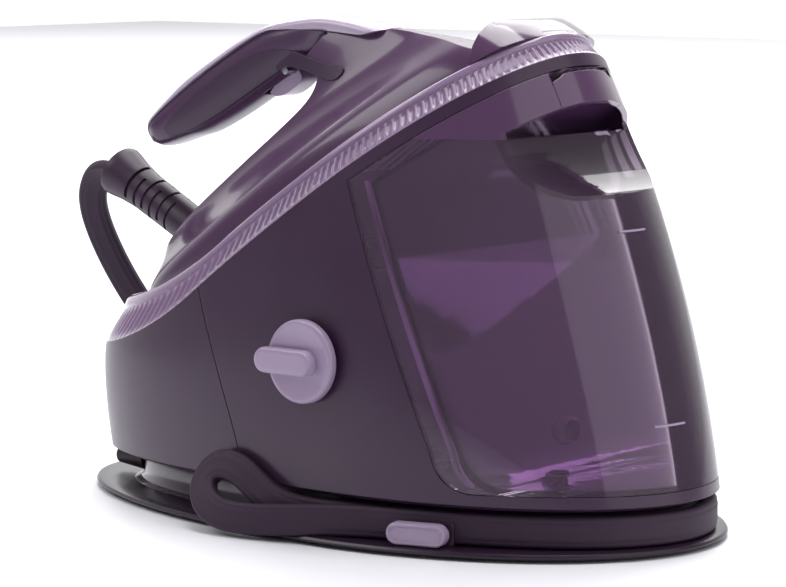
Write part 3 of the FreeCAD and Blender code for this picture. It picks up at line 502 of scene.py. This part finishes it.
# The tank's seat: its back wall carries upright flutes.
def fluted_wall():
    loops, count = [], int(420 * FINE)
    side = tank_outline(-0.4, BORDER)[0:12]
    back = tank_outline(-0.4, BORDER - 2.6)[0:12]
    for i in range(count + 1):
        y = -107.0 + 214.0 * i / count
        wave = 2.6 * max(0.0, math.cos(2 * math.pi * y / FLUTE_PITCH)) ** 0.7
        loops.append([(x + wave * (1 if 0 < k < 11 else 0), y, z) for k, (x, z) in enumerate(side)]
                     + [(x, y, z) for x, z in reversed(back)])
    return rings(loops)


bay_room = casing(29.5, 303.0, 3.3, step=8.0)
floor = both(block((125.0, -130.0, 32.3), (250.0, 130.0, 35.2)), bay_room)
roof = cut(both(slope_half_space(175.5, x_low=54.0), bay_room), slope_half_space(172.5))
piece("bay_wall", both(fluted_wall(), bay_room), BAY_PAINTED_LIGHT_AND_SHADE, "base", ["tank_bay"])
piece("bay_floor", floor, BAY_PAINTED_LIGHT_AND_SHADE, "base")
piece("bay_roof", roof, BAY_PAINTED_LIGHT_AND_SHADE, "base")

# De-calc port, its knob and the hose clip's button.
dish = lathe([(18.9, 0.0), (18.9, 41.4), (18.2, 42.0), (16.5, 41.7), (14.5, 40.8), (12.3, 40.4), (12.3, 0.0)],
             (KNOB[0], -68.0, KNOB[1]), (0, -1, 0), closed=True)
piece("decalc_dish", dish, CASING, "base", ["decalc_collar"])
disc = lathe([(4.2, 0.0), (22.8, 0.0), (23.6, 0.4), (24.0, 1.2), (24.0, 4.2), (23.7, 5.1), (22.9, 5.8),
              (21.6, 6.0), (20.6, 5.7), (4.2, 5.6)], (KNOB[0], -112.4, KNOB[1]), (0, -1, 0), 128, True)
bar = []
for inset, y in ((0.2, -117.5), (0.0, -119.5), (0.0, -123.6), (0.5, -124.7), (1.5, -125.3), (3.0, -125.4)):
    loop = []
    for k in range(64):
        a = 2 * math.pi * k / 64
        x = math.copysign(13.5, math.cos(a)) + (7.4 - inset) * math.cos(a) - 7.5
        loop.append((KNOB[0] + x, y, KNOB[1] + (7.4 - inset) * math.sin(a)))
    bar.append(loop)
piece("decalc_knob_disc", disc, LIGHT, "decalc_knob", ["decalc_knob"])
piece("decalc_knob_bar", rings(bar), LIGHT, "decalc_knob")

CLIP_AT, CLIP_TURN = Vector((110.0, -113.5, 12.6)), math.atan2(0.264, 0.964)


def at_clip(points):
    turn = Matrix.Rotation(CLIP_TURN, 3, "Z")
    return [tuple(CLIP_AT + turn @ Vector(p)) for p in points]


button = []
for inset, y in ((0.0, 7.0), (0.0, 1.4), (0.4, 0.5), (1.2, 0.0), (1.9, 0.1), (2.4, 0.9), (2.9, 1.3)):
    loop = []
    for k in range(64):
        a = 2 * math.pi * k / 64
        loop.append((math.copysign(11.7, math.cos(a)) + (6.3 - inset) * math.cos(a), y,
                     (6.3 - inset) * math.sin(a)))
    button.append(at_clip(loop))
piece("clip_button_cap", rings(button), LIGHT, "clip_button", ["clip_button"])


# ---------------------------------------------------------------- tank
def notch(grow=0.0):
    back = (NOTCH_BACK[0] - grow * 1.4, NOTCH_BACK[1])
    low = 198.0 - grow
    side = [back] + arc(back, (back[0] + 13.0, low + 13.5 + grow * 0.4), (162.0, low))
    side += [(260.0, low + 4.0), (260.0, VISOR_LIP[1] + SLOPE * 60 + grow * 1.3),
             (VISOR_LIP[0], VISOR_LIP[1] + grow * 1.3)]
    return prism(side, 140.0)


def tank_block(clear, dx=0.0):
    return prism(tank_outline(clear, dx), 140.0)


tank_casing = casing(31.5, 305.0, step=4.0, count=320)
tank = both(tank_casing, tank_block(0.4))
behind = cut(casing(31.0, 306.0, 2.6, step=8.0), tank_block(0.4, BORDER + 1.8))
tank = cut(tank, behind, notch())
inside = both(casing(35.5, 305.0, 2.6, step=6.0, nose=2.0), tank_block(3.4, BORDER + 1.6),
              slope_half_space(167.5))
inside = cut(inside, notch(2.6))
hood_side = [(20.0, 203.0), (78.0, HOOD_Z), (260.0, HOOD_Z), (260.0, 340.0), (20.0, 340.0)]
shell = cut(tank, prism(hood_side, 140.0), inside)
piece("tank_clear_shell", shell, CLEAR, "tank", ["tank_shell"])
hood = cut(both(tank, prism(hood_side, 140.0)),
           both(casing(199.0, 305.0, 3.6, step=6.0), slope_half_space(167.5), tank_block(3.4, BORDER + 1.6)))


def lid_room(gap):
    (x0, z0), (x1, z1) = LID_FOOT, LID_AXIS
    return prism([(x0 - gap, z0 - gap), (x1 - gap, z1), (x1 - gap, 300.0), (220.0, 300.0),
                  (220.0, z0 - gap)], LID_HALF + gap)


hinge_room = lathe(rounded(4.4, 55.8, 0.3), (LID_AXIS[0], -27.9, LID_AXIS[1]), (0, 1, 0))
piece("hood", cut(hood, lid_room(0.3), hinge_room), HOOD, "tank", ["tank_hood"])
piece("lid", both(hood, lid_room(0.0), slope_half_space(168.8)), HOOD, "filler_lid", ["filler_lid"])
water = both(casing(35.9, WATER_Z, 2.9, step=6.0), tank_block(3.7, BORDER + 1.9))
piece("water", water, WATER, "tank")


# Plain level marks, raised on the tank's outside.
def level_mark(z, y, wide):
    loops = []
    for i in range(9):
        at = y - wide / 2 + wide * i / 8
        rear, front, widest, half = casing_extents(z)
        share = abs(at) / half
        x = widest + (front - widest) * (1 - share ** 2.05) ** (1 / 2.05)
        loops.append([(x - 0.3, at, z - 0.6), (x + 0.35, at, z - 0.6), (x + 0.35, at, z + 0.6),
                      (x - 0.3, at, z + 0.6)])
    return rings(loops)


piece("mark_high", level_mark(178.0, -6.0, 22.0), LIGHT, "tank")
piece("mark_low", level_mark(72.0, -11.0, 24.0), LIGHT, "tank")


# ---------------------------------------------------------------- iron, in its own frame
# S runs along the soleplate to the nose and H up from its face.
def placed(mesh):
    made = mesh.copy()
    made.transform(Matrix.Translation((0, 0, 0.203)) @ Matrix.Rotation(-TILT, 4, "Y"))
    return made


IRON_FORM = [(3, -197, 118, -60, 60), (10, -198, 115, -60, 60), (20, -197.5, 109, -61, 58.5),
             (26, -195, 104, -62, 55), (33, -190, 96, -62, 46.5), (40, -185, 87, -60, 38),
             (48, -180, 77, -54, 30.5), (56, -176, 66, -44, 26), (68, -168, 55, -32, 22.5),
             (80, -160, 45, -22, 20), (92, -155, 31, -16, 18.5), (106, -150, 16, -12, 17.5)]


def iron_form(inset=0.0, low=3.0, high=105.0, rows=48):
    levels = []
    table = smooth([tuple(map(float, row)) for row in IRON_FORM], 5)
    for i in range(rows + 1):
        h = low + (high - low) * i / rows
        heel, nose, widest, half = (between([(row[0], row[k]) for row in table], h) for k in range(1, 5))
        levels.append((heel + inset, nose - inset * 1.6, widest, half - inset, h))
    return plate(levels, (3.4, 1.75), 280)


side = [(-205.0, 1.0), (-205.0, 22.0)] + smooth([(-199.0, 30.0), (-182.0, 46.0), (-147.0, 52.0),
        (-79.0, 55.0), (-40.0, 56.5), (-19.0, 59.0), (-8.0, 64.0), (-5.0, 70.5), (-14.0, 82.0)], 8)
side += [(12.4, 89.3)] + smooth([(29.6, 75.7), (40.0, 70.3), (50.7, 65.8), (66.0, 52.6), (84.0, 36.5),
         (102.0, 18.5), (119.0, 3.0)], 6) + [(124.0, 1.0)]
ROOT, WAY = Vector((-161.0, 0.0, 57.0)), Vector((-32.0, 0.0, 59.0)).normalized()
body = cut(both(iron_form(), prism(side, 90.0)),
           lathe(rounded(12.3, 60.0, 0.3), ROOT - WAY * 14.0, WAY))
piece("iron_body", placed(body), IRON, "iron", ["iron_shell"])

CORE_TOP = smooth([(-152.0, 113.0), (-148.0, 118.6), (-135.6, 122.9), (-100.0, 123.5), (-60.0, 121.0),
                   (-31.6, 116.7), (-15.8, 109.0), (0.0, 98.5), (12.4, 89.5)], 6)
CORE_LOW = smooth([(-152.0, 112.0), (-147.0, 107.5), (-139.0, 104.3), (-124.0, 99.4), (-111.0, 95.0),
                   (-94.0, 91.8), (-76.0, 89.5), (-51.0, 87.2), (-38.0, 86.2), (-24.0, 84.0),
                   (-10.0, 80.0), (12.4, 86.0)], 6)
COVER_TOP = smooth([(-154.0, 117.0), (-153.0, 122.0), (-141.7, 126.6), (-120.0, 128.8), (-99.6, 129.4),
                    (-63.0, 126.4), (-43.0, 123.6), (-24.0, 119.3), (3.0, 106.3), (16.2, 97.7),
                    (30.2, 85.7), (40.0, 76.0), (47.5, 68.5)], 6)


def beam(top, low, stations, half, power=2.6, count=72):
    """A body of rounded sections between an upper and a lower line."""
    loops = []
    for s in stations:
        high, bottom = between(top, s), between(low, s)
        centre, reach = (high + bottom) / 2, max(0.4, (high - bottom) / 2)
        wide = half(s)
        loop = []
        for a in turns(count):
            c, d = math.cos(a), math.sin(a)
            loop.append((s, math.copysign(wide * abs(c) ** (2 / power), c),
                         centre + math.copysign(reach * abs(d) ** (2 / power), d)))
        loops.append(loop)
    return rings(loops)


def handle_half(s):
    end = min(1.0, max(0.02, (s + 152.5) / 14.0))
    return (17.2 + 1.0 * max(0.0, s / 12.0)) * math.sqrt(1 - (1 - end) ** 2)


def steps(low, high, count):
    return [low + (high - low) * i / count for i in range(count + 1)]


stations = [-152.4, -152, -151, -149.5, -147] + steps(-145.0, 12.2, 60)
whole = beam(COVER_TOP, CORE_LOW, stations, handle_half)
above = [(-170.0, 150.0), (-170.0, 113.0)] + CORE_TOP[1:] + [(12.6, 150.0)]
handle = cut(whole, prism(above, 60.0), block((-56.0, -8.0, 60.0), (-22.0, 8.0, 100.0)))
piece("handle", placed(handle), HANDLE, "iron", ["handle_core"])


def cover_half(s):
    end = min(1.0, max(0.02, (s + 153.8) / 14.0))
    nose = min(1.0, max(0.05, (48.2 - s) / 16.0))
    return 16.4 * math.sqrt(1 - (1 - end) ** 2) * (0.55 + 0.45 * math.sqrt(1 - (1 - nose) ** 2))


under = [(x, z - 14.0) for x, z in COVER_TOP]
strip = beam(COVER_TOP, under, [-153.7, -153, -151.5, -149, -146] + steps(-144.0, 47.4, 70), cover_half, 3.0)
line = CORE_TOP[1:-1] + [(12.4, 89.6), (29.6, 76.0), (35.0, 72.0), (50.7, 66.1), (60.0, 58.0)]
cover = both(strip, prism([(-170.0, 150.0), (-170.0, 113.3)] + [(x, z + 0.15) for x, z in line]
                          + [(60.0, 150.0)], 60.0))
piece("handle_cover", placed(cover), COVER, "iron", ["handle_top_cover"])

grip_side = smooth([(-132.0, 111.5), (-118.0, 113.5), (-99.0, 114.0), (-60.0, 111.7), (-33.0, 104.5),
                    (-14.5, 93.0), (-3.5, 81.0), (7.0, 69.5), (15.0, 61.5), (8.3, 58.8), (0.4, 63.6),
                    (-9.0, 75.0), (-19.0, 85.0), (-30.0, 88.4), (-54.0, 91.3), (-82.6, 91.6), (-104.0, 93.6),
                    (-122.0, 99.4), (-131.0, 105.0), (-132.5, 109.0)], 5)
outer_beam = beam([(x, z + 1.2) for x, z in COVER_TOP], [(x, z - 1.2) for x, z in CORE_LOW],
                  steps(-145.0, 11.0, 50), lambda s: handle_half(s) + 0.9)
grip = cut(both(fuse(outer_beam, both(iron_form(-1.0, 50.0, 92.0), prism(
    [(-30, 50), (30, 50), (30, 92), (-30, 92)], 80.0))), prism(grip_side, 60.0)),
    block((-160.0, -14.5, 40.0), (60.0, 14.5, 150.0)))
piece("grips", placed(grip), GRIP, "iron", ["handle_grips"])

lever = smooth([(-24.5, 82.0), (-26.0, 79.4), (-33.0, 78.6), (-42.0, 79.4), (-49.5, 82.6), (-52.0, 86.5)], 5)
lever = lever + [(-46.0, 88.5), (-24.5, 89.5)]
piece("trigger_lever", placed(prism(lever, 7.5)), LIGHT, "trigger", ["trigger"])
levels = [(-196.0 + a, 117.0 - a, -60.0, 59.0 - a, h) for a, h in ((1.4, 0.0), (0.3, 0.5), (0.0, 1.2),
          (0.0, 2.95))]
piece("sole", placed(plate(levels, (3.4, 1.75))), ALLOY, "iron", ["soleplate"])


# The bend relief: a flared tube with rows of staggered slots.
def slot_cutter(along, start, sweep, high=2.3):
    loops = []
    for i in range(25):
        a = start + sweep * i / 24
        loop = []
        for r, d in ((11.4, 0.0), (20.0, 0.0), (20.0, high), (11.4, high)):
            loop.append((r * math.cos(a), r * math.sin(a), along + d))
        loops.append(loop)
    return rings(loops)


sleeve = lathe([(10.4, -12.0), (12.2, -12.0), (12.3, 20.0), (12.6, 44.0), (14.0, 56.0), (15.9, 65.0),
                (16.4, 68.5), (16.0, 70.0), (14.6, 70.4), (13.4, 69.0), (10.6, 52.0), (10.4, 40.0)],
               (0, 0, 0), (0, 0, 1), 96, True)
slots = [slot_cutter(11.0 + 7.4 * row, math.radians(side_at + 12 + 45 * (row % 2)), math.radians(132))
         for row in range(6) for side_at in (0, 180)]
sleeve = cut(sleeve, *slots)
turn = Vector((0, 0, 1)).rotation_difference(WAY).to_matrix().to_4x4()
sleeve.transform(Matrix.Translation(ROOT * MM) @ turn)
piece("sleeve", placed(sleeve), SLEEVE, "iron", ["hose_sleeve"])

# ---------------------------------------------------------------- carry lock
dome = plate([(20.0, 142.0, 60.0, 60.0, 262.0), (20.0, 140.0, 60.0, 58.5, 274.0),
              (20.0, 133.0, 60.0, 57.0, 280.0),
              (20.0, 123.0, 60.0, 54.0, 286.5), (20.0, 116.0, 60.0, 50.0, 290.5),
              (20.0, 111.0, 60.0, 46.0, 293.0),
              (20.0, 108.0, 60.0, 42.0, 293.8)], (2.4, 2.4))
inner_dome = plate([(22.0, 138.5, 60.0, 56.5, 255.0), (22.0, 134.5, 60.0, 53.5, 278.0),
                    (22.0, 124.5, 60.0, 43.5, 287.0), (22.0, 100.5, 60.0, 16.5, 291.0)], (2.0, 2.0))
cap = cut(both(dome, block((100.0, -100.0, 240.0), (180.0, 100.0, 310.0))), inner_dome,
          slope_half_space(200.4))
piece("lock_cap", cap, HOOD, "carry_lock", ["carry_lock"])

# ---------------------------------------------------------------- steam hose
# One route from the iron's sleeve to the outlet in the base's neck, as the CAD has it.
Z = 15.4
ROUTE = [(-216, 0, 184), (-233, 0, 191), (-250, 2, 187), (-261, 7, 171), (-264, 18, 148), (-258, 33, 116),
         (-246, 50, 84), (-226, 66, 54), (-196, 80, 31), (-160, 88, 18.5), (-124, 92, Z), (-62, 103, Z),
         (38, 108, Z), (102, 102, Z), (155, 83, Z), (193, 55, Z), (214, 19, Z), (214, -19, Z), (193, -55, Z),
         (155, -81, Z), (108, -99, Z), (76, -108, Z), (50, -118, 15), (25, -126, 13), (1, -131, 11),
         (-20, -132, 11.5), (-36, -128, 18), (-42, -121, 29), (-33, -117, 38.5), (-17, -117, 36.5),
         (-3, -117.5, 27.5), (13, -118, 19), (33, -113, Z), (56, -105, Z), (78, -97.5, Z), (104, -90, Z),
         (148, -74, Z), (184, -49, Z), (204, -17, Z), (204, 17, Z), (184, 49, Z), (148, 74, Z), (99, 92.5, Z),
         (38, 98, Z), (-59, 94, Z), (-120, 81, Z), (-150, 64, Z)]
LOOP_START, LOOP_END = 21, 34

curve = bpy.data.curves.new("route", "CURVE")
curve.dimensions = "3D"
spline = curve.splines.new("NURBS")
spline.points.add(len(ROUTE) - 1)
for point, at in zip(spline.points, ROUTE):
    point.co = (*[c * MM for c in at], 1.0)
spline.order_u = 3
spline.use_endpoint_u = True
spline.resolution_u = 14
guide = bpy.data.objects.new("route", curve)
bpy.context.scene.collection.objects.link(guide)
bpy.context.view_layer.update()
line_mesh = bpy.data.meshes.new_from_object(guide.evaluated_get(bpy.context.evaluated_depsgraph_get()))
raw = [v.co.copy() for v in line_mesh.vertices]
bpy.data.objects.remove(guide)

# Evenly spaced points along it.
run = [0.0]
for a, b in zip(raw, raw[1:]):
    run.append(run[-1] + (b - a).length)
hose_length = run[-1]
count, path, k = int(900 * FINE), [], 0
for i in range(count + 1):
    at = hose_length * i / count
    while k < len(run) - 2 and run[k + 1] < at:
        k += 1
    share = (at - run[k]) / max(1e-9, run[k + 1] - run[k])
    path.append(raw[k].lerp(raw[k + 1], min(1.0, max(0.0, share))))


def nearest(point):
    return min(range(len(path)), key=lambda i: (path[i] - Vector(point) * MM).length)


def tangent(i):
    return (path[min(i + 1, len(path) - 1)] - path[max(i - 1, 0)]).normalized()


def carried(first, last, start):
    """The width direction carried along the path without twist."""
    found, wide, step = {first: start}, start, 1 if last > first else -1
    for i in range(first + step, last + step, step):
        wide = tangent(i - step).rotation_difference(tangent(i)) @ wide
        wide = (wide - tangent(i) * wide.dot(tangent(i))).normalized()
        found[i] = wide
    return found


up = Vector((0, 0, 1))
groove = nearest(ROUTE[12])
loop_a, loop_b = nearest(ROUTE[LOOP_START]), nearest(ROUTE[LOOP_END])
widths = carried(groove, 0, up)
widths.update(carried(groove, loop_b, up))
back_widths = carried(len(path) - 1, loop_a, up)
for i in range(loop_a, loop_b + 1):
    one, two, along = widths[i], back_widths[i], tangent(i)
    turn_by = math.atan2(one.cross(two).dot(along), one.dot(two))
    turn_by = (turn_by + math.pi / 2) % math.pi - math.pi / 2
    share = (i - loop_a) / (loop_b - loop_a)
    widths[i] = Quaternion(along, turn_by * share * share * (3 - 2 * share)) @ one
for i in range(loop_b + 1, len(path)):
    widths[i] = back_widths[i]

loops = []
for i, centre in enumerate(path):
    along, wide = tangent(i), widths[i]
    thick = along.cross(wide).normalized()
    loop = []
    for k in range(48):
        a = 2 * math.pi * k / 48
        c, s = math.cos(a), math.sin(a)
        u = math.copysign(9.0 * abs(c) ** (2 / 3.6), c)
        v = math.copysign(4.3 * abs(s) ** (2 / 3.6), s)
        v *= 1.0 - 0.10 * max(0.0, 1 - (abs(u) - 5.6) ** 2 / 1.2) - 0.05 * (abs(u) < 4.0)
        loop.append(tuple((centre + (wide * u + thick * v) * MM) / MM))
    loops.append(loop)
hose = piece("steam_hose", rings(loops), HOSE, None,
             ["hose_at_iron", "hose_fall", "hose_outer", "hose_loop", "hose_inner"], sharp=60.0)
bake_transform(hose)

# ---------------------------------------------------------------- floor, light, camera
floor_mesh = bpy.data.meshes.new("floor")
floor_mesh.from_pydata([(-6, -6, 0), (6, -6, 0), (6, 6, 0), (-6, 6, 0)], [], [(0, 1, 2, 3)])
floor_material = surface("floor_paint", (250, 250, 250), 0.5, edge=0.0, tone=0.01, depth=0.95, green=1.0)
floor_mesh.materials.append(floor_material)
ground = bpy.data.objects.new("floor", floor_mesh)
bpy.context.scene.collection.objects.link(ground)

world = bpy.data.worlds.new("studio")
bpy.context.scene.world = world
world.use_nodes = True
nodes, links = world.node_tree.nodes, world.node_tree.links
where, facing, ramp = (nodes.new("ShaderNode" + kind) for kind in ("TexCoord", "VectorMath", "MapRange"))
facing.operation = "DOT_PRODUCT"
facing.inputs[1].default_value = (-0.643, 0.766, 0.0)
ramp.interpolation_type = "SMOOTHSTEP"
# The wall of the studio that stands behind the object is white, and the rest of it dim.
ramp.inputs["From Min"].default_value = 0.25
ramp.inputs["From Max"].default_value = 0.85
ramp.inputs["To Min"].default_value = 0.25
ramp.inputs["To Max"].default_value = 1.02
links.new(where.outputs["Generated"], facing.inputs[0])
links.new(facing.outputs["Value"], ramp.inputs["Value"])
links.new(ramp.outputs["Result"], nodes["Background"].inputs["Strength"])
nodes["Background"].inputs["Color"].default_value = (1, 1, 1, 1)
bpy.context.scene.view_settings.view_transform = "Standard"


def lamp(name, at, target, size, power):
    data = bpy.data.lights.new(name, "AREA")
    data.shape, data.size, data.size_y, data.energy = "RECTANGLE", size[0], size[1], power
    made = bpy.data.objects.new(name, data)
    made.location = at
    made.rotation_mode = "QUATERNION"
    made.rotation_quaternion = (Vector(target) - Vector(at)).to_track_quat("-Z", "Y")
    bpy.context.scene.collection.objects.link(made)


lamp("key", (-1.2, -1.3, 1.6), (0, 0, 0.12), (1.2, 1.2), 16)
lamp("right", (1.9, 0.1, 0.9), (0, 0, 0.15), (2.4, 2.2), 16)
lamp("backdrop", (-2.6, 3.1, 2.6), (-2.6, 3.1, 0.0), (5.0, 4.0), 220)
lamp("top", (0.1, 0.2, 2.0), (0, 0, 0.1), (1.6, 1.0), 30)

CAMERA_AT, LOOKED_AT, LENS = (1.265, -1.507, 0.358), (-0.015, 0.017, 0.126), 152.5
camera = bpy.data.cameras.new("camera")
camera.lens, camera.sensor_width = LENS, 36.0
camera.clip_start, camera.clip_end = 0.1, 30.0
seen = bpy.data.objects.new("camera", camera)
seen.location = CAMERA_AT
seen.rotation_mode = "QUATERNION"
seen.rotation_quaternion = (Vector(LOOKED_AT) - seen.location).to_track_quat("-Z", "Y")
bpy.context.scene.collection.objects.link(seen)
bpy.context.scene.camera = seen
